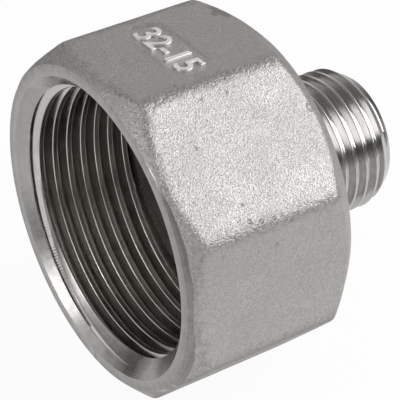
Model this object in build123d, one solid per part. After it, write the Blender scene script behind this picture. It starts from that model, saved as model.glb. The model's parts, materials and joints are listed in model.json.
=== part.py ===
from build123d import *
from math import cos, pi, radians, tan
import os

# Reducing pipe fitting, one investment casting in stainless steel, finished on a lathe.
# A wide octagonal body holds the female thread, and a narrow spigot carries the male thread.
# The axis of both threads lies along +X: the mouth is at x = 0 and the spigot points to +X.
# The body lies on one of its eight flats. The origin is the centre of the mouth. Millimetres.

# ---- octagonal body ----
ACROSS_FLATS = 48.5
BODY_LENGTH = 27.2
FLATS = 8
EDGE_RADIUS = 2.5          # cast rounding along the eight long edges
END_BEVEL_ANGLE = 45.0     # slope of the bevels at both ends, measured from the axis
MOUTH_FACE_RADIUS = 23.6   # outer edge of the machined ring round the mouth
SHOULDER_RADIUS = 22.1     # outer edge of the shoulder that the spigot stands on

# ---- threads: 55-degree form, at the sizes of 1 1/4 and 1/2 inch pipe ----
FLANK_ANGLE = 55.0
SOCKET_ROOT_RADIUS = 20.955
SOCKET_CREST_RADIUS = 19.51
SOCKET_PITCH = 2.309
SPIGOT_CREST_RADIUS = 10.4775
SPIGOT_ROOT_RADIUS = 9.45
SPIGOT_PITCH = 1.814

# ---- socket ----
MOUTH_RADIUS = 21.9        # inner edge of the machined ring, where the lead-in begins
LEAD_IN_ANGLE = 45.0
SOCKET_DEPTH = 20.4        # where the plain wall meets the floor
THREAD_RUN_OUT = 3.0       # plain wall left between the last groove and the floor, at least
FLOOR_SLOPE = 14.0         # the floor dishes towards the waterway, degrees from square

# ---- spigot and waterway ----
SPIGOT_LENGTH = 16.8
NOSE_RADIUS = 8.85
NOSE_ANGLE = 30.0          # lead-in bevel on the nose, measured from the axis
NECK_LENGTH = 2.6          # plain length between the shoulder and the first groove
NECK_BEVEL = 0.8           # small cone that strengthens the root of the neck
WATERWAY_RADIUS = 7.0

TOTAL_LENGTH = BODY_LENGTH + SPIGOT_LENGTH
CORNER_RADIUS = ACROSS_FLATS / 2 / cos(pi / FLATS)


def rise(run, degrees):
    """How far a slope climbs over a run."""
    return run * tan(radians(degrees))


def turned(*outline):
    """A solid turned about X from an outline given as (x, radius) points."""
    with BuildPart() as part:
        with BuildSketch(Plane.XY):
            with BuildLine():
                Polyline(*outline, close=True)
            make_face()
        revolve(axis=Axis.X)
    return part.part


def octagon_bar():
    """The eight-sided bar, lying on a flat, with its long edges rounded."""
    with BuildPart() as bar:
        with BuildSketch(Plane.YZ):
            RegularPolygon(CORNER_RADIUS, FLATS, rotation=180 / FLATS)
            fillet(vertices(), EDGE_RADIUS)
        extrude(amount=BODY_LENGTH)
    return bar.part


def bevelled_blank():
    """Two cones that meet in a ridge outside the octagon, and so cut its corners back at both ends."""
    steepness = 90 - END_BEVEL_ANGLE
    ridge = (BODY_LENGTH - rise(MOUTH_FACE_RADIUS - SHOULDER_RADIUS, steepness)) / 2
    return turned(
        (0, 0),
        (0, MOUTH_FACE_RADIUS),
        (ridge, MOUTH_FACE_RADIUS + rise(ridge, END_BEVEL_ANGLE)),
        (BODY_LENGTH, SHOULDER_RADIUS),
        (BODY_LENGTH, 0),
    )


def spigot_blank():
    """The spigot before threading: root cone, barrel and nose bevel, rooted in the socket's floor."""
    bevel_length = (SPIGOT_CREST_RADIUS - NOSE_RADIUS) / tan(radians(NOSE_ANGLE))
    return turned(
        (SOCKET_DEPTH, 0),
        (SOCKET_DEPTH, SPIGOT_CREST_RADIUS + NECK_BEVEL),
        (BODY_LENGTH, SPIGOT_CREST_RADIUS + NECK_BEVEL),
        (BODY_LENGTH + NECK_BEVEL, SPIGOT_CREST_RADIUS),
        (TOTAL_LENGTH - bevel_length, SPIGOT_CREST_RADIUS),
        (TOTAL_LENGTH, NOSE_RADIUS),
        (TOTAL_LENGTH, 0),
    )


def socket_hollow():
    """The socket's hollow: lead-in, bore at the height of the thread's crests, and dished floor."""
    lead_in = rise(MOUTH_RADIUS - SOCKET_CREST_RADIUS, 90 - LEAD_IN_ANGLE)
    dish = rise(SOCKET_CREST_RADIUS - WATERWAY_RADIUS, FLOOR_SLOPE)
    return turned(
        (0, 0),
        (0, MOUTH_RADIUS),
        (lead_in, SOCKET_CREST_RADIUS),
        (SOCKET_DEPTH, SOCKET_CREST_RADIUS),
        (SOCKET_DEPTH + dish, WATERWAY_RADIUS),
        (SOCKET_DEPTH + dish, 0),
    )


def waterway():
    """The plain hole from the socket's floor out through the nose."""
    return turned(
        (SOCKET_DEPTH, 0),
        (SOCKET_DEPTH, WATERWAY_RADIUS),
        (TOTAL_LENGTH, WATERWAY_RADIUS),
        (TOTAL_LENGTH, 0),
    )


def thread_rings(start, end, pitch, crest_radius, root_radius):
    """V rings at thread pitch between two places, each from the crest down to the root."""
    half_width = rise(abs(crest_radius - root_radius), FLANK_ANGLE / 2)
    count = int((end - start - 2 * half_width) / pitch) + 1
    middles = [start + half_width + pitch * turn for turn in range(count)]
    return [
        turned((x - half_width, crest_radius), (x, root_radius), (x + half_width, crest_radius))
        for x in middles
    ]


def socket_thread():
    """Rings from where the lead-in passes the thread's root to the run-out."""
    lead_in_at_root = rise(MOUTH_RADIUS - SOCKET_ROOT_RADIUS, 90 - LEAD_IN_ANGLE)
    return thread_rings(
        lead_in_at_root,
        SOCKET_DEPTH - THREAD_RUN_OUT,
        SOCKET_PITCH,
        SOCKET_CREST_RADIUS,
        SOCKET_ROOT_RADIUS,
    )


def spigot_thread():
    """Rings from the neck to where the nose bevel passes the thread's root."""
    nose_at_root = (SPIGOT_ROOT_RADIUS - NOSE_RADIUS) / tan(radians(NOSE_ANGLE))
    return thread_rings(
        BODY_LENGTH + NECK_LENGTH,
        TOTAL_LENGTH - nose_at_root,
        SPIGOT_PITCH,
        SPIGOT_CREST_RADIUS,
        SPIGOT_ROOT_RADIUS,
    )


def reducer_body():
    casting = (octagon_bar() & bevelled_blank()) + spigot_blank()
    bored = casting - socket_hollow() - waterway()
    return bored - socket_thread() - spigot_thread()


os.makedirs("parts", exist_ok=True)
export_step(reducer_body(), "parts/reducer_body.step")
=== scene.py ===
"""The looks of a reducing pipe adapter, cast in stainless steel and finished on a lathe.

The casting is an octagon lying on a flat. The mouth at x = 0 holds the wide female thread,
and the spigot at the +X end carries the narrow male thread. Metres throughout.
"""
import json
import math

import bpy
from mathutils import Matrix, Vector

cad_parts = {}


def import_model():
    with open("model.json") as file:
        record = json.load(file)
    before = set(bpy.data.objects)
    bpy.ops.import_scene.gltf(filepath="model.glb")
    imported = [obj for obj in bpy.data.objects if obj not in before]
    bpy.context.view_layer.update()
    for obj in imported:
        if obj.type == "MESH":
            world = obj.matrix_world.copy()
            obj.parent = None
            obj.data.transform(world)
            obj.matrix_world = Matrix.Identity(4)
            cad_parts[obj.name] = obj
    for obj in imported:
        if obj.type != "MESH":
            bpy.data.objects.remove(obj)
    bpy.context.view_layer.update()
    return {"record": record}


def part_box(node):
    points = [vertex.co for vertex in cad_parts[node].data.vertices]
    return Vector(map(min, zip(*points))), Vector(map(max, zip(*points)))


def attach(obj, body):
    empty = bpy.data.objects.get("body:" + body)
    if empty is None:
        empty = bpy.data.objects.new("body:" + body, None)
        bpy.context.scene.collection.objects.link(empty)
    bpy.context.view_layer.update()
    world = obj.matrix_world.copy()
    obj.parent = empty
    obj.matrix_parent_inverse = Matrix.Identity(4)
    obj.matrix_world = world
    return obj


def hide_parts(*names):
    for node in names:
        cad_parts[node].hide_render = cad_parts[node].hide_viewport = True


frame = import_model()
MOUNTS = {mount["name"]: mount for mount in frame["record"]["mounts"]}
MM = 0.001
AXIS = Vector((1, 0, 0))

# ---- sizes taken from the frame ----
LOW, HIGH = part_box("reducer_body")
ACROSS_FLATS = HIGH.z - LOW.z
TOTAL_LENGTH = HIGH.x - LOW.x
SPIGOT_CREST = MOUNTS["male_thread"]["dims"]["r_mm"] * MM
WATERWAY = MOUNTS["waterway"]["dims"]["r_mm"] * MM

# ---- casting ----
FLATS = 8
CORNER = ACROSS_FLATS / 2 / math.cos(math.pi / FLATS)
BODY_LENGTH = 27.2 * MM
EDGE_RADIUS = 2.5 * MM
MOUTH_FACE = 23.6 * MM
SHOULDER = 22.1 * MM
SKIN_GRID = 0.42 * MM
SKIN_WAVE = 0.05 * MM

# ---- socket ----
MOUTH = 21.9 * MM
SOCKET_CREST = 19.476 * MM
SOCKET_ROOT = 20.955 * MM
SOCKET_PITCH = 2.309 * MM
SOCKET_FIRST_GROOVE = 1.659 * MM
SOCKET_THREAD_END = 17.6 * MM
SOCKET_PLAIN_WALL = 19.75 * MM
SOCKET_DEPTH = 20.4 * MM
FLOOR_DROP = 3.1 * MM

# ---- spigot ----
SPIGOT_ROOT = 9.35 * MM
SPIGOT_ROOT_FLAT = 0.3 * MM
SPIGOT_PITCH = 1.814 * MM
SPIGOT_FIRST_GROOVE = (35.11 + 0.907 - 0.857 - 3 * 1.814) * MM
NOSE_SHORT = 0.001 * MM
NECK_END = 29.9 * MM
NECK = 10.25 * MM
NECK_FILLET = 0.8 * MM
NOSE = 8.85 * MM
NOSE_ANGLE = math.radians(33)

# ---- machined outer chamfer, raised figures ----
CHAMFER_START = 23.62 * MM
CHAMFER_RUN = 0.86
CHAMFER_OFFSET = (0, 0.2 * MM, 0.06 * MM)
FIGURES = "32-15"
FIGURES_LENGTH = 12.3 * MM
FIGURES_HEIGHT = 4.1 * MM
FIGURES_CENTRE = (12.8 * MM, 0.1 * MM)
FIGURES_UNDER = 0.06 * MM
PLATE_CENTRE = (12.8 * MM, 0)
PLATE_HALF_WIDTH = 3.9 * MM
PLATE_HALF_LENGTH = 8.6 * MM
PLATE_DEPTH = 0.34 * MM
PLATE_FLOOR_SHARE = (0.76, 0.86, 1)

# each a place in millimetres and a radius: a nick on the far edge, then three pits lower down
DENTS = [
    ((24.9, -15.9, 19.2), 1.0),
    ((9.7, -23.6, 11.1), 0.5),
    ((11.3, -24.0, 10.7), 0.55),
    ((13.2, -24.1, 10.45), 0.45),
]

STAIN_PLACE = (0.0243, 0.0049, 0.0242)
STAIN_RADIUS = 1.75 * MM

FLANK_HALF_ANGLE = math.radians(27.5)
EDGE_BREAK = 0.11 * MM
TURN_STEPS = 144
WELD = 1e-7
SHARP_ANGLE = math.radians(38)


# ------------------------------------------------------------------ hand tools

def only(piece):
    """Selects one object and makes it active, with everything else deselected."""
    if bpy.context.object and bpy.context.object.mode != "OBJECT":
        bpy.ops.object.mode_set(mode="OBJECT")
    bpy.ops.object.select_all(action="DESELECT")
    piece.select_set(True)
    bpy.context.view_layer.objects.active = piece


def edit(piece, select="SELECT"):
    only(piece)
    bpy.ops.object.mode_set(mode="EDIT")
    bpy.ops.mesh.select_all(action=select)


def done(piece, name=None):
    bpy.ops.object.mode_set(mode="OBJECT")
    if name:
        piece.name = name
        piece.data.name = name
    return piece


def apply_place(piece):
    only(piece)
    bpy.ops.object.transform_apply(location=True, rotation=True, scale=True)
    return piece


def apply_modifier(piece, kind, **settings):
    """Adds a modifier, sets it and applies it."""
    only(piece)
    modifier = piece.modifiers.new(kind.lower(), kind)
    for key, value in settings.items():
        setattr(modifier, key, value)
    bpy.ops.object.modifier_apply(modifier=modifier.name)
    return piece


def close_mesh(piece):
    """Merges doubles and turns every face outwards."""
    edit(piece)
    bpy.ops.mesh.remove_doubles(threshold=WELD)
    bpy.ops.mesh.normals_make_consistent(inside=False)
    return done(piece)


def draw_outline(name, outline):
    """A chain of edges through (x, radius) points, drawn by extruding one corner of a plane."""
    bpy.ops.object.select_all(action="DESELECT")
    bpy.ops.mesh.primitive_plane_add(size=MM)
    piece = bpy.context.object
    edit(piece, "DESELECT")
    bpy.ops.object.mode_set(mode="OBJECT")
    for vertex in piece.data.vertices[1:]:
        vertex.select = True
    bpy.ops.object.mode_set(mode="EDIT")
    bpy.ops.mesh.delete(type="VERT")
    bpy.ops.mesh.select_all(action="SELECT")
    start = piece.location + first_vertex(piece)
    move = Vector((outline[0][0], outline[0][1], 0)) - start
    bpy.ops.transform.translate(value=move)
    for here, there in zip(outline, outline[1:]):
        step = (there[0] - here[0], there[1] - here[1], 0)
        bpy.ops.mesh.extrude_region_move(TRANSFORM_OT_translate={"value": step})
    return done(piece, name)


def first_vertex(piece):
    """Where the one vertex left in edit mode lies."""
    piece.update_from_editmode()
    return piece.data.vertices[0].co.copy()


def turned(name, outline):
    """A solid spun about the X axis from an outline of (x, radius) points."""
    piece = draw_outline(name, outline)
    edit(piece)
    bpy.ops.mesh.spin(steps=TURN_STEPS, angle=math.tau, center=(0, 0, 0), axis=AXIS)
    done(piece)
    return close_mesh(piece)


def threaded(name, crest, root, pitch, groove, start, end, root_flat=0.0):
    """A threaded rod between two square ends, with one groove centred at x = groove on the +Y side."""
    side = 1 if crest > root else -1
    half = abs(crest - root) * math.tan(FLANK_HALF_ANGLE) + root_flat / 2
    b = EDGE_BREAK
    drop = side * b * math.cos(FLANK_HALF_ANGLE)
    out = b * math.sin(FLANK_HALF_ANGLE)
    land = groove - half
    flat = 0.6 * b + root_flat / 2
    outline = [
        (land - b, crest),
        (land - 0.25 * b, crest - 0.2 * drop),
        (land + out, crest - drop),
        (groove - flat, root + side * 0.6 * b),
        (groove, root + side * 0.3 * b),
        (groove + flat, root + side * 0.6 * b),
        (groove + half - out, crest - drop),
        (groove + half + 0.25 * b, crest - 0.2 * drop),
        (groove + half + b, crest),
        (land - b + pitch, crest),
    ]
    turns_before = math.ceil((groove - start) / pitch) + 2
    turns = turns_before + math.ceil((end - groove) / pitch) + 2
    shifted = [(x - turns_before * pitch, r) for x, r in outline]
    piece = draw_outline(name, shifted)
    apply_modifier(
        piece, "SCREW", axis="X", angle=math.tau, screw_offset=pitch, iterations=turns,
        steps=TURN_STEPS, render_steps=TURN_STEPS, use_merge_vertices=True, merge_threshold=WELD,
    )
    close_mesh(piece)
    for place, above in ((start, False), (end, True)):
        edit(piece)
        bpy.ops.mesh.bisect(
            plane_co=(place, 0, 0), plane_no=(1, 0, 0), threshold=1e-8, use_fill=True,
            clear_inner=not above, clear_outer=above,
        )
        done(piece)
    return close_mesh(piece)


def combine(piece, other, operation):
    """Joins, cuts or keeps the common part of two solids, and removes the second."""
    apply_modifier(
        piece, "BOOLEAN", operation=operation, object=other, solver="MANIFOLD", material_mode="TRANSFER",
    )
    bpy.data.objects.remove(other)
    return piece


# ------------------------------------------------------------------ the casting

def octagon_bar():
    bpy.ops.object.select_all(action="DESELECT")
    bpy.ops.mesh.primitive_cylinder_add(
        vertices=FLATS, radius=CORNER, depth=BODY_LENGTH + MM,
        location=((BODY_LENGTH - MM) / 2, 0, 0), rotation=(0, math.pi / 2, 0),
    )
    bar = apply_place(bpy.context.object)
    bar.name = "octagon_bar"
    bar.data.transform(Matrix.Rotation(octagon_turn(bar), 4, "X"))
    edit(bar, "DESELECT")
    bpy.ops.mesh.select_mode(type="EDGE")
    bpy.ops.object.mode_set(mode="OBJECT")
    for edge in bar.data.edges:
        a, b = (bar.data.vertices[i].co for i in edge.vertices)
        edge.select = abs(a.x - b.x) > BODY_LENGTH / 2
    bpy.ops.object.mode_set(mode="EDIT")
    bpy.ops.mesh.bevel(offset=EDGE_RADIUS * math.tan(math.pi / FLATS), segments=6)
    bpy.ops.mesh.select_mode(type="VERT")
    return done(bar)


def octagon_turn(bar):
    """The turn about X that lays a flat on top, whatever corner the primitive starts with."""
    corner = bar.data.vertices[0].co
    angle = math.atan2(corner.z, corner.y)
    return math.pi / FLATS - angle


def bevel_blank():
    """Two cones that meet in a ridge outside the octagon."""
    front = -MM
    ridge = (BODY_LENGTH - (MOUTH_FACE - SHOULDER)) / 2
    return turned("bevel_blank", [
        (front, 0),
        (front, MOUTH_FACE + front),
        (ridge, MOUTH_FACE + ridge),
        (BODY_LENGTH, SHOULDER),
        (BODY_LENGTH, 0),
    ])


def casting():
    cast = combine(octagon_bar(), bevel_blank(), "INTERSECT")
    apply_modifier(cast, "REMESH", mode="VOXEL", voxel_size=SKIN_GRID, use_smooth_shade=True)
    apply_modifier(cast, "SMOOTH", factor=0.5, iterations=4)
    unevenness = bpy.data.textures.new("cast unevenness", "CLOUDS")
    unevenness.noise_scale = 4 * MM
    unevenness.noise_depth = 3
    apply_modifier(
        cast, "DISPLACE", texture=unevenness, texture_coords="LOCAL", strength=SKIN_WAVE, mid_level=1.0,
    )
    cast.name = "reducer_finish"
    return cast


# ------------------------------------------------------------------ turned forms

def facing():
    """What the lathe takes off in front of the mouth ring."""
    return turned("facing", [(-3 * MM, 0), (-3 * MM, CORNER), (0, CORNER), (0, 0)])


def lead_in():
    """The 45 degree cone from the mouth ring down past the thread's crest."""
    reach = MOUTH + 2 * MM
    inner = SOCKET_CREST - 1.5 * MM
    return turned("lead_in", [
        (MOUTH - reach, 0),
        (MOUTH - reach, reach),
        (MOUTH - inner, inner),
        (MOUTH - inner, 0),
    ])


def plain_end():
    """The plain wall past the thread, and the floor that dishes to the waterway."""
    return turned("plain_end", [
        (SOCKET_THREAD_END, 0),
        (SOCKET_THREAD_END, SOCKET_CREST - 0.6 * MM),
        (SOCKET_THREAD_END + 0.6 * MM, SOCKET_PLAIN_WALL),
        (SOCKET_DEPTH - 0.6 * MM, SOCKET_PLAIN_WALL),
        (SOCKET_DEPTH, SOCKET_PLAIN_WALL - 0.8 * MM),
        (SOCKET_DEPTH + FLOOR_DROP, WATERWAY - MM),
        (SOCKET_DEPTH + FLOOR_DROP, 0),
    ])


def waterway():
    return turned("waterway", [
        (SOCKET_DEPTH - MM, 0),
        (SOCKET_DEPTH - MM, WATERWAY),
        (TOTAL_LENGTH - 0.5 * MM, WATERWAY),
        (TOTAL_LENGTH + MM, WATERWAY + 1.5 * MM),
        (TOTAL_LENGTH + MM, 0),
    ])


def socket_plug():
    return threaded(
        "socket_plug", SOCKET_CREST, SOCKET_ROOT, SOCKET_PITCH, SOCKET_FIRST_GROOVE,
        -2 * MM, SOCKET_THREAD_END + 0.1 * MM,
    )


def spigot():
    """The threaded rod trimmed by the nose bevel, with the plain neck that roots it in the shoulder."""
    rod = threaded(
        "spigot", SPIGOT_CREST, SPIGOT_ROOT, SPIGOT_PITCH, SPIGOT_FIRST_GROOVE,
        BODY_LENGTH - 2 * MM, TOTAL_LENGTH + MM, SPIGOT_ROOT_FLAT,
    )
    wide = SPIGOT_CREST + MM
    end = TOTAL_LENGTH - NOSE_SHORT
    trim = turned("nose_trim", [
        (BODY_LENGTH - 3 * MM, 0),
        (BODY_LENGTH - 3 * MM, wide),
        (end - (wide - NOSE) / math.tan(NOSE_ANGLE), wide),
        (end, NOSE),
        (end, 0),
    ])
    combine(rod, trim, "INTERSECT")
    arc = [math.radians(a) for a in (0, 22.5, 45, 67.5, 90)]
    fillet = [
        (BODY_LENGTH + NECK_FILLET * (1 - math.sin(a)), NECK + NECK_FILLET * (1 - math.cos(a)))
        for a in reversed(arc)
    ]
    rooted = BODY_LENGTH - 2 * MM
    core = SPIGOT_ROOT - 0.2 * MM
    tip = NECK_END + NECK - core
    foot = [(rooted, 0), (rooted, NECK + NECK_FILLET)]
    neck = turned("neck", foot + fillet + [(NECK_END, NECK), (tip, core), (tip, 0)])
    return combine(rod, neck, "UNION")


# ------------------------------------------------------------------ marks and damage

def number_plate(skin, figures):
    """A shallow oblong with rounded ends that sinks into the top flat, less the raised figures."""
    bpy.ops.object.select_all(action="DESELECT")
    bpy.ops.mesh.primitive_cylinder_add(
        vertices=64, radius=PLATE_HALF_WIDTH, depth=2 * PLATE_DEPTH, location=(*PLATE_CENTRE, HIGH.z),
    )
    plate = apply_place(bpy.context.object)
    plate.name = "number_plate"
    for side in (1, -1):
        edit(plate, "DESELECT")
        bpy.ops.object.mode_set(mode="OBJECT")
        for vertex in plate.data.vertices:
            vertex.select = side * (vertex.co.y - PLATE_CENTRE[1]) > 0.01 * MM
        bpy.ops.object.mode_set(mode="EDIT")
        bpy.ops.transform.translate(value=(0, side * (PLATE_HALF_LENGTH - PLATE_HALF_WIDTH), 0))
        done(plate)
    edit(plate, "DESELECT")
    bpy.ops.object.mode_set(mode="OBJECT")
    for vertex in plate.data.vertices:
        vertex.select = vertex.co.z < HIGH.z
    bpy.ops.object.mode_set(mode="EDIT")
    bpy.ops.transform.resize(value=PLATE_FLOOR_SHARE, center_override=(*PLATE_CENTRE, 0))
    done(plate)
    give(plate, skin)
    return combine(plate, give(raised_figures(), figures), "DIFFERENCE")


def raised_figures():
    """Plain figures that read along -Y with their tops towards +X."""
    bpy.ops.object.select_all(action="DESELECT")
    bpy.ops.object.text_add(location=(0, 0, 0))
    text = bpy.context.object
    text.data.body = FIGURES
    text.data.align_x = "CENTER"
    text.data.align_y = "CENTER"
    text.data.resolution_u = 4
    text.data.extrude = 0.1
    text.data.bevel_depth = 0.022
    text.data.bevel_resolution = 2
    only(text)
    bpy.ops.object.convert(target="MESH")
    figures = bpy.context.object
    figures.name = "figures"
    close_mesh(figures)
    corners = [vertex.co.copy() for vertex in figures.data.vertices]
    low = Vector(min(c[i] for c in corners) for i in range(3))
    high = Vector(max(c[i] for c in corners) for i in range(3))
    middle = (low + high) / 2
    scale = Vector((FIGURES_LENGTH / (high.x - low.x), FIGURES_HEIGHT / (high.y - low.y), 5 * MM))
    edit(figures)
    bpy.ops.transform.translate(value=-middle)
    bpy.ops.transform.resize(value=scale, center_override=(0, 0, 0))
    bpy.ops.transform.rotate(value=math.pi / 2, orient_axis="Z", center_override=(0, 0, 0))
    top = (high.z - low.z) / 2 * scale.z
    bpy.ops.transform.translate(value=(*FIGURES_CENTRE, HIGH.z - FIGURES_UNDER - top))
    return done(figures)


def outer_chamfer():
    """The lathe's chamfer round the mouth, off the casting's centre so that it shows as a crescent."""
    front, back = -MM, 1.4 * MM
    ring = [
        (front, CHAMFER_START + front / CHAMFER_RUN),
        (back, CHAMFER_START + back / CHAMFER_RUN),
        (back, CORNER + MM),
        (front, CORNER + MM),
    ]
    cutter = turned("outer_chamfer", ring + ring[:1])
    edit(cutter)
    bpy.ops.transform.translate(value=CHAMFER_OFFSET)
    return done(cutter)


def dent(place, radius):
    bpy.ops.object.select_all(action="DESELECT")
    bpy.ops.mesh.primitive_uv_sphere_add(segments=20, ring_count=12, radius=radius, location=place)
    return apply_place(bpy.context.object)


# ------------------------------------------------------------------ materials

SKIN_DARK = (0.36, 0.342, 0.327)
SKIN_LIGHT = (0.54, 0.527, 0.517)
# painted shade: the darker tone laid along the casting's long edges, bevel lines and bevels
EDGE_SHADE_TONE = (0.24, 0.222, 0.205)
PATCH_TONE = (0.40, 0.385, 0.37)
RUBBED_TONE = (0.55, 0.54, 0.53)
# the darker tone laid in concave hollows
HOLLOW_TONE = (0.26, 0.24, 0.22)
PIT_TONE = (0.2, 0.19, 0.18)
# painted shade: the lower diagonal flats drawn darker, for the shadowed floor they face
UNDERSIDE_SHADE_TONE = (0.23, 0.22, 0.21)
STAIN_TONE = (0.17, 0.16, 0.15)
BRIGHT_RUBBED_TONE = (0.66, 0.65, 0.64)
SKIN_GRAIN_DEPTH = 0.00008
FINE_MARKS = 0.000006
LIGHT_MARKS = 0.000008
DEEP_MARKS = 0.000012
RING_SCALE = 5200


def wire(tree, kind, *links, **settings):
    """Adds a shader node. Links go to its inputs in order, None leaves one as it is."""
    made = tree.nodes.new("ShaderNode" + kind)
    values = settings.pop("values", {})
    for key, value in settings.items():
        setattr(made, key, value)
    for socket, value in values.items():
        made.inputs[socket].default_value = value
    for index, link in enumerate(links):
        if link is not None:
            tree.links.new(link, made.inputs[index])
    return made


def spread(tree, value, low, high, new_low, new_high):
    """Maps a value from one range to another and clamps it."""
    return wire(tree, "MapRange", value, values={1: low, 2: high, 3: new_low, 4: new_high}).outputs[0]


def math_node(tree, operation, first, second=None, constant=None):
    made = wire(tree, "Math", first, second, operation=operation)
    if constant is not None:
        made.inputs[1].default_value = constant
    return made.outputs[0]


def times(tree, value, factor):
    """A value times a plain number."""
    return math_node(tree, "MULTIPLY", value, constant=factor)


def both(tree, first, second):
    """Where two masks hold together."""
    return math_node(tree, "MULTIPLY", first, second)


def from_axis(tree, parts):
    """How far a place lies from the thread axis."""
    square_y = both(tree, parts.outputs["Y"], parts.outputs["Y"])
    square_z = both(tree, parts.outputs["Z"], parts.outputs["Z"])
    return math_node(tree, "SQRT", math_node(tree, "ADD", square_y, square_z))


def noise(tree, place, scale, detail, rough=0.5):
    values = {"Scale": scale, "Detail": detail, "Roughness": rough}
    return wire(tree, "TexNoise", place, values=values).outputs[0]


def new_group(name, inputs, outputs):
    tree = bpy.data.node_groups.new(name, "ShaderNodeTree")
    for label, kind in inputs:
        tree.interface.new_socket(label, in_out="INPUT", socket_type=kind)
    for label in outputs:
        tree.interface.new_socket(label, in_out="OUTPUT", socket_type="NodeSocketFloat")
    return tree, tree.nodes.new("NodeGroupInput"), tree.nodes.new("NodeGroupOutput")


def cast_grain_group():
    """The shell mould's grain: fine sand, broader patches and a few pits."""
    tree, inside, outside = new_group(
        "cast grain", [("Place", "NodeSocketVector")], ["Height", "Tone", "Patch", "Pit"],
    )
    place = inside.outputs["Place"]
    sand = noise(tree, place, 5000, 1.5, 0.6)
    lumps = noise(tree, place, 2500, 2, 0.6)
    patch = noise(tree, place, 150, 3, 0.6)
    cells = wire(tree, "TexVoronoi", place, values={"Scale": 420}, feature="F1")
    pits = spread(tree, cells.outputs["Distance"], 0.05, 0.17, 1, 0)
    few = spread(tree, noise(tree, place, 300, 1), 0.56, 0.62, 0, 1)
    pit = math_node(tree, "MULTIPLY", pits, few)
    height = math_node(tree, "ADD", sand, math_node(tree, "MULTIPLY", lumps, constant=0.9))
    height = math_node(tree, "SUBTRACT", height, math_node(tree, "MULTIPLY", pit, constant=0.9))
    tree.links.new(height, outside.inputs["Height"])
    mottle = math_node(tree, "ADD", sand, math_node(tree, "MULTIPLY", lumps, constant=0.5))
    tree.links.new(spread(tree, mottle, 0.55, 0.95, 0, 1), outside.inputs["Tone"])
    tree.links.new(spread(tree, patch, 0.32, 0.68, 0, 1), outside.inputs["Patch"])
    tree.links.new(pit, outside.inputs["Pit"])
    return tree


def tool_marks_group():
    """The fine rings a lathe tool leaves, with chatter along each ring."""
    tree, inside, outside = new_group(
        "tool marks",
        [("Place", "NodeSocketVector"), ("Ring Scale", "NodeSocketFloat"), ("Chatter", "NodeSocketFloat")],
        ["Height", "Tone", "Stain"],
    )
    place = inside.outputs["Place"]
    parts = wire(tree, "SeparateXYZ", place)
    radius = from_axis(tree, parts)
    angle = math_node(tree, "ARCTAN2", parts.outputs[2], parts.outputs[1])
    turn = math_node(tree, "MULTIPLY", angle, constant=0.0006)
    flat = wire(tree, "CombineXYZ", parts.outputs[0], radius, turn).outputs[0]
    rings = wire(tree, "TexNoise", flat)
    tree.links.new(inside.outputs["Ring Scale"], rings.inputs["Scale"])
    rings.inputs["Detail"].default_value = 2
    stain = noise(tree, place, 260, 3, 0.6)
    ripple = math_node(tree, "SINE", math_node(tree, "MULTIPLY", angle, constant=290))
    low = math_node(tree, "DIVIDE", parts.outputs[2], radius)
    band = both(tree, spread(tree, low, -0.3, -0.5, 0, 1), spread(tree, low, -0.95, -0.8, 0, 1))
    broken = spread(tree, noise(tree, place, 1400, 1), 0.4, 0.6, 0.2, 1)
    ripple = both(tree, both(tree, ripple, band), broken)
    ripple = both(tree, ripple, inside.outputs["Chatter"])
    tree.links.new(math_node(tree, "ADD", rings.outputs[0], ripple), outside.inputs["Height"])
    tree.links.new(spread(tree, rings.outputs[0], 0.3, 0.7, 0, 1), outside.inputs["Tone"])
    tree.links.new(spread(tree, stain, 0.35, 0.65, 0, 1), outside.inputs["Stain"])
    return tree


def worn_edges_group():
    """Picks out the outer edges, where handling has rubbed the skin, and the inner ones, which are drawn
    darker.
    """
    tree, inside, outside = new_group("worn edges", [("Place", "NodeSocketVector")], ["Rubbed", "Sheltered"])
    sharp = wire(tree, "NewGeometry").outputs["Pointiness"]
    patch = noise(tree, inside.outputs["Place"], 700, 2)
    shifted = math_node(tree, "ADD", sharp, math_node(tree, "MULTIPLY", patch, constant=0.04))
    tree.links.new(spread(tree, shifted, 0.535, 0.6, 0, 1), outside.inputs["Rubbed"])
    tree.links.new(spread(tree, shifted, 0.505, 0.45, 0, 1), outside.inputs["Sheltered"])
    return tree


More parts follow.
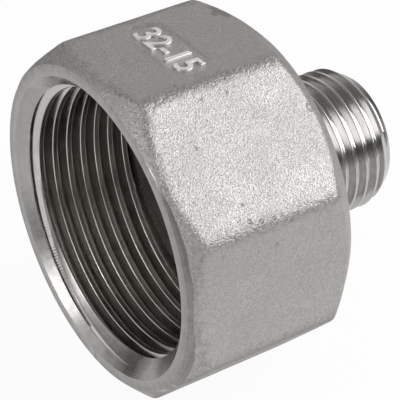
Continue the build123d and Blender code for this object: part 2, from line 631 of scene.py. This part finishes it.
def octagon_edges_group():
    """Masks for the casting's long edges and for the lines where its bevels meet the flats."""
    tree, inside, outside = new_group(
        "octagon edges", [("Place", "NodeSocketVector")],
        ["Long Edge", "Bevel Line", "Bevel", "Coarse Grain", "Underside"],
    )
    ragged = noise(tree, inside.outputs["Place"], 900, 2)
    ragged = spread(tree, ragged, 0.25, 0.75, -0.0006, 0.0006)
    parts = wire(tree, "SeparateXYZ", inside.outputs["Place"])
    angle = math_node(tree, "ARCTAN2", parts.outputs[2], parts.outputs[1])
    flats = math_node(tree, "DIVIDE", angle, constant=math.tau / FLATS)
    nearest = math_node(tree, "ROUND", flats)
    from_flat = math_node(tree, "ABSOLUTE", math_node(tree, "SUBTRACT", flats, nearest))
    from_edge = math_node(tree, "SUBTRACT", from_flat, constant=0.5)
    from_edge = math_node(tree, "ABSOLUTE", times(tree, from_edge, CORNER * math.tau / FLATS))
    from_edge = math_node(tree, "ADD", from_edge, ragged)
    radius = from_axis(tree, parts)
    outer = spread(tree, radius, 0.0242, 0.0248, 0, 1)
    along = both(tree, spread(tree, from_edge, 0.0005, 0.0016, 1, 0), outer)
    tree.links.new(along, outside.inputs["Long Edge"])
    sideways = times(tree, math_node(tree, "ABSOLUTE", parts.outputs[1]), math.sqrt(0.5))
    downwards = math_node(tree, "MULTIPLY", parts.outputs[2], constant=-math.sqrt(0.5))
    lower = math_node(tree, "ADD", sideways, downwards)
    tree.links.new(spread(tree, lower, 0.0236, 0.0241, 0, 1), outside.inputs["Underside"])
    lean = math_node(tree, "MULTIPLY", from_flat, constant=math.tau / FLATS)
    cosine = math_node(tree, "COSINE", lean)
    reach = wire(tree, "Math", None, cosine, operation="DIVIDE")
    reach.inputs[0].default_value = ACROSS_FLATS / 2
    line = math_node(tree, "SUBTRACT", reach.outputs[0], constant=MOUTH_FACE)
    beyond = math_node(tree, "ADD", math_node(tree, "SUBTRACT", parts.outputs[0], line), ragged)
    tree.links.new(spread(tree, beyond, -0.0004, 0.0004, 1, 0), outside.inputs["Bevel"])
    # coarse grain noise, which breaks up the painted shade on the edges and raises their bump
    tree.links.new(noise(tree, inside.outputs["Place"], 2600, 2), outside.inputs["Coarse Grain"])
    gap = math_node(tree, "ADD", math_node(tree, "ABSOLUTE", beyond), ragged)
    tree.links.new(spread(tree, gap, 0.0004, 0.0014, 1, 0), outside.inputs["Bevel Line"])
    return tree


def new_material(name):
    material = bpy.data.materials.new(name)
    material.use_nodes = True
    tree = material.node_tree
    shader = tree.nodes["Principled BSDF"]
    shader.inputs["Metallic"].default_value = 1
    return material, tree, shader


def grouped(tree, group, place):
    made = tree.nodes.new("ShaderNodeGroup")
    made.node_tree = GROUPS[group]
    tree.links.new(place, made.inputs["Place"])
    return made


def blend(tree, share, first, second):
    """Mixes two colours, each a tuple or a socket."""
    made = tree.nodes.new("ShaderNodeMix")
    made.data_type = "RGBA"
    tree.links.new(share, made.inputs[0])
    for index, value in ((6, first), (7, second)):
        if isinstance(value, tuple):
            made.inputs[index].default_value = (*value, 1)
        else:
            tree.links.new(value, made.inputs[index])
    return made.outputs[2]


def bump(tree, shader, height, distance):
    made = wire(tree, "Bump", values={"Strength": 1.0, "Distance": distance})
    tree.links.new(height, made.inputs["Height"])
    tree.links.new(made.outputs[0], shader.inputs["Normal"])


def cast_skin():
    """Sand-grained skin with a coarse grain on its edges and bevels, painted shade there and on the lower
    flats, darker hollows and one stain.
    """
    material, tree, shader = new_material("cast skin")
    place = wire(tree, "TexCoord").outputs["Object"]
    grain = grouped(tree, "cast grain", place)
    edges = grouped(tree, "worn edges", place)
    corners = grouped(tree, "octagon edges", place)
    border = math_node(tree, "MAXIMUM", corners.outputs["Long Edge"], corners.outputs["Bevel Line"])
    # painted shade along the long edges and bevel lines and over the bevels; the same mask also carries the
    # coarse grain bump
    edge_shade_and_grain = math_node(tree, "MAXIMUM", border, times(tree, corners.outputs["Bevel"], 0.7))
    specks = spread(tree, corners.outputs["Coarse Grain"], 0.4, 0.62, 1, 0.15)
    layers = [
        (times(tree, both(tree, edge_shade_and_grain, specks), 0.6), EDGE_SHADE_TONE),
        (times(tree, grain.outputs["Patch"], 0.3), PATCH_TONE),
        (times(tree, edges.outputs["Rubbed"], 0.5), RUBBED_TONE),
        (times(tree, edges.outputs["Sheltered"], 0.5), HOLLOW_TONE),
        (times(tree, grain.outputs["Pit"], 0.5), PIT_TONE),
        # painted shade on the lower diagonal flats
        (times(tree, corners.outputs["Underside"], 0.75), UNDERSIDE_SHADE_TONE),
        (stain_mask(tree, place), STAIN_TONE),
    ]
    color = blend(tree, grain.outputs["Tone"], SKIN_DARK, SKIN_LIGHT)
    for share, tone in layers:
        color = blend(tree, share, color, tone)
    tree.links.new(color, shader.inputs["Base Color"])
    rough = spread(tree, grain.outputs["Patch"], 0, 1, 0.42, 0.5)
    tree.links.new(rough, shader.inputs["Roughness"])
    rise = times(tree, both(tree, edge_shade_and_grain, corners.outputs["Coarse Grain"]), 1.6)
    bump(tree, shader, math_node(tree, "ADD", grain.outputs["Height"], rise), SKIN_GRAIN_DEPTH)
    return material


def stain_mask(tree, place):
    """The dark blotch on the top flat, ragged at its rim."""
    away = wire(tree, "VectorMath", place, operation="DISTANCE")
    away.inputs[1].default_value = STAIN_PLACE
    ragged = spread(tree, noise(tree, place, 650, 3, 0.6), 0.3, 0.7, -0.001, 0.001)
    away = math_node(tree, "ADD", away.outputs["Value"], ragged)
    return spread(tree, away, STAIN_RADIUS * 0.7, STAIN_RADIUS, 0.5, 0)


def turned_metal(name, dark, light, low, high, depth, chatter=0.0):
    """Metal off the lathe: a dark and a light colour, the roughness between two values, the marks' depth."""
    material, tree, shader = new_material(name)
    place = wire(tree, "TexCoord").outputs["Object"]
    marks = grouped(tree, "tool marks", place)
    marks.inputs["Ring Scale"].default_value = RING_SCALE
    marks.inputs["Chatter"].default_value = chatter
    edges = grouped(tree, "worn edges", place)
    color = blend(tree, marks.outputs["Tone"], dark, light)
    color = blend(tree, times(tree, marks.outputs["Stain"], 0.25), color, dark)
    color = blend(tree, times(tree, edges.outputs["Rubbed"], 0.4), color, BRIGHT_RUBBED_TONE)
    tree.links.new(color, shader.inputs["Base Color"])
    tree.links.new(spread(tree, marks.outputs["Stain"], 0, 1, low, high), shader.inputs["Roughness"])
    bump(tree, shader, marks.outputs["Height"], depth)
    return material


def give(piece, material):
    piece.data.materials.clear()
    piece.data.materials.append(material)
    return piece


# ------------------------------------------------------------------ camera, light, floor

FLOOR_RADIUS = 0.15
FLOOR_LEFT = 0.6
FLOOR_RIGHT = 0.92
FLOOR_SHARE = 0.94
FLOOR_RIM = 0.2
# how dark mirror rays see the floor under the part, a painted shadow
FLOOR_UNDER = 0.38
CARD_TONE = (1.15, 1.15, 1.15)
# each a height, from straight down at -1 to straight up at 1, and the grey that the room has there
ROOM = [
    (-1, 0.5), (-0.08, 0.4), (-0.03, 0.1), (0.19, 0.12), (0.3, 0.8),
    (0.45, 1.0), (0.62, 0.9), (0.8, 0.35), (1, 0.2),
]
# each a name, azimuth, elevation, distance, width, height, power and colour
SOFTBOXES = [
    ("front softbox", 48, 34.6, 0.35, 0.42, 0.27, 0.98, (0.95, 0.975, 1.0)),
    ("left softbox", -92, 24, 0.4, 0.17, 0.1, 0.25, (1, 1, 1)),
]
CAMERA_PLACE = (-0.1072823, -0.1939087, 0.1538840)
CAMERA_TURN = (55.97399, 0.92495, -33.33277)
LENS = 177.95
SENSOR = 36


def camera():
    bpy.ops.object.camera_add(
        location=CAMERA_PLACE, rotation=[math.radians(angle) for angle in CAMERA_TURN],
    )
    cam = bpy.context.object
    cam.data.sensor_width = SENSOR
    cam.data.lens = LENS
    cam.data.clip_start = 0.01
    cam.data.clip_end = 10
    bpy.context.scene.camera = cam


def softbox(name, azimuth, elevation, distance, width, height, power, color):
    """A lamp panel that faces the piece. Azimuth runs from -Y towards +X."""
    a, e = math.radians(azimuth), math.radians(elevation)
    towards = Vector((math.sin(a) * math.cos(e), -math.cos(a) * math.cos(e), math.sin(e)))
    bpy.ops.object.light_add(type="AREA", location=towards * distance + Vector((0.02, 0, 0)))
    lamp = bpy.context.object
    lamp.name = name
    lamp.rotation_euler = towards.to_track_quat("Z", "Y").to_euler()
    lamp.data.shape = "RECTANGLE"
    lamp.data.size = width
    lamp.data.size_y = height
    lamp.data.energy = power
    lamp.data.color = color
    return lamp


def white_when_seen(tree, share):
    """White for camera rays. Mirror rays see a set tone that falls off leftwards and outwards, and is darker
    underneath as a painted shadow of the part.
    """
    path = wire(tree, "LightPath")
    straight = math_node(tree, "MAXIMUM", path.outputs["Is Camera Ray"], path.outputs["Is Transmission Ray"])
    spot = wire(tree, "TexCoord").outputs["Object"]
    parts = wire(tree, "SeparateXYZ", spot)
    across = spread(tree, parts.outputs["X"], -0.012, 0.006, FLOOR_LEFT, FLOOR_RIGHT)
    away = wire(tree, "VectorMath", spot, operation="LENGTH").outputs["Value"]
    rim = spread(tree, away, 0.1, 0.106, 1, FLOOR_RIM)
    # painted shadow: mirror rays see the floor darker under and behind the part
    behind = spread(tree, parts.outputs["Y"], -0.0165, -0.0135, 0, 1)
    under = both(tree, behind, spread(tree, parts.outputs["X"], -0.002, 0.002, 0, 1))
    across = both(tree, across, spread(tree, under, 0, 1, 1, FLOOR_UNDER))
    mirrored = both(tree, path.outputs["Is Glossy Ray"], both(tree, across, rim))
    return math_node(tree, "MAXIMUM", times(tree, straight, share), mirrored)


def floor():
    bpy.ops.object.select_all(action="DESELECT")
    bpy.ops.mesh.primitive_circle_add(
        vertices=96, radius=FLOOR_RADIUS, fill_type="NGON", location=(0, 0, LOW.z - 0.00002),
    )
    plane = apply_place(bpy.context.object)
    plane.name = "floor"
    material = bpy.data.materials.new("white table")
    material.use_nodes = True
    tree = material.node_tree
    shader = tree.nodes["Principled BSDF"]
    shader.inputs["Base Color"].default_value = (0.9, 0.9, 0.9, 1)
    shader.inputs["Roughness"].default_value = 0.8
    glow = wire(tree, "Emission", values={"Color": (1, 1, 1, 1), "Strength": 1.0})
    mix = wire(tree, "MixShader", white_when_seen(tree, FLOOR_SHARE), shader.outputs[0], glow.outputs[0])
    tree.links.new(mix.outputs[0], tree.nodes["Material Output"].inputs[0])
    plane.data.materials.append(material)


def world():
    """White for the camera. A grey room with a dark strip and a bright card on the left lights the part."""
    room = bpy.data.worlds.new("studio")
    bpy.context.scene.world = room
    room.use_nodes = True
    tree = room.node_tree
    parts = wire(tree, "SeparateXYZ", wire(tree, "TexCoord").outputs["Generated"])
    ramp = wire(tree, "ValToRGB", spread(tree, parts.outputs["Z"], -1, 1, 0, 1))
    stops = ramp.color_ramp
    while len(stops.elements) < len(ROOM):
        stops.elements.new(0.5)
    for stop, (rise, tone) in zip(stops.elements, ROOM):
        stop.position = (rise + 1) / 2
        stop.color = (tone, tone, tone, 1)
    left = spread(tree, parts.outputs["X"], -0.9, -0.94, 0, 1)
    card = both(tree, left, spread(tree, parts.outputs["Z"], 0.045, 0.02, 0, 1))
    slit = math_node(tree, "ABSOLUTE", math_node(tree, "SUBTRACT", parts.outputs["Z"], constant=0.085))
    far_left = spread(tree, parts.outputs["X"], -0.8, -0.85, 0, 1)
    slit = both(tree, spread(tree, slit, 0.02, 0.008, 0, 1), far_left)
    color = blend(tree, math_node(tree, "MAXIMUM", card, slit), ramp.outputs[0], CARD_TONE)
    path = wire(tree, "LightPath")
    seen = math_node(tree, "MAXIMUM", path.outputs["Is Camera Ray"], path.outputs["Is Transmission Ray"])
    color = blend(tree, seen, color, (1, 1, 1))
    tree.links.new(color, tree.nodes["Background"].inputs["Color"])


def build():
    """Casts the body, turns its faces, marks it, bores it and roots the spigot in it."""
    skin = cast_skin()
    bright = turned_metal("turned steel", (0.45, 0.436, 0.42), (0.56, 0.55, 0.54), 0.14, 0.22, LIGHT_MARKS)
    bore = turned_metal("bored steel", (0.50, 0.477, 0.455), (0.63, 0.61, 0.588), 0.14, 0.24, DEEP_MARKS, 1.0)
    floor_steel = turned_metal("bored floor", (0.42, 0.40, 0.38), (0.55, 0.53, 0.51), 0.2, 0.3, LIGHT_MARKS)
    body = give(casting(), skin)
    # turned steel painted far darker, a painted shade for the darker reflections on the mouth ring, outer
    # chamfer and lead-in
    face_steel_painted_dark = turned_metal("faced steel", (0.19, 0.182, 0.172), (0.27, 0.26, 0.25), 0.24, 0.34, DEEP_MARKS)
    rubbed = turned_metal("rubbed figures", (0.66, 0.65, 0.64), (0.78, 0.77, 0.76), 0.25, 0.35, FINE_MARKS)
    combine(body, give(facing(), face_steel_painted_dark), "DIFFERENCE")
    combine(body, give(outer_chamfer(), face_steel_painted_dark), "DIFFERENCE")
    combine(body, give(lead_in(), face_steel_painted_dark), "DIFFERENCE")
    combine(body, number_plate(skin, rubbed), "DIFFERENCE")
    for place, radius in DENTS:
        combine(body, give(dent([c * MM for c in place], radius * MM), skin), "DIFFERENCE")
    combine(body, give(socket_plug(), bore), "DIFFERENCE")
    combine(body, give(plain_end(), floor_steel), "DIFFERENCE")
    stud = give(spigot(), bright)
    combine(body, stud, "UNION")
    combine(body, give(waterway(), floor_steel), "DIFFERENCE")
    close_mesh(body)
    only(body)
    bpy.ops.object.shade_smooth_by_angle(angle=SHARP_ANGLE)
    apply_modifier(body, "WEIGHTED_NORMAL", mode="FACE_AREA", weight=50, keep_sharp=True)
    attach(body, "root")
    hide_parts("reducer_body")
    return body


GROUPS = {
    "cast grain": cast_grain_group(),
    "tool marks": tool_marks_group(),
    "worn edges": worn_edges_group(),
    "octagon edges": octagon_edges_group(),
}
bpy.context.scene.view_settings.view_transform = "Standard"
camera()
world()
floor()
for panel in SOFTBOXES:
    softbox(*panel)
build()
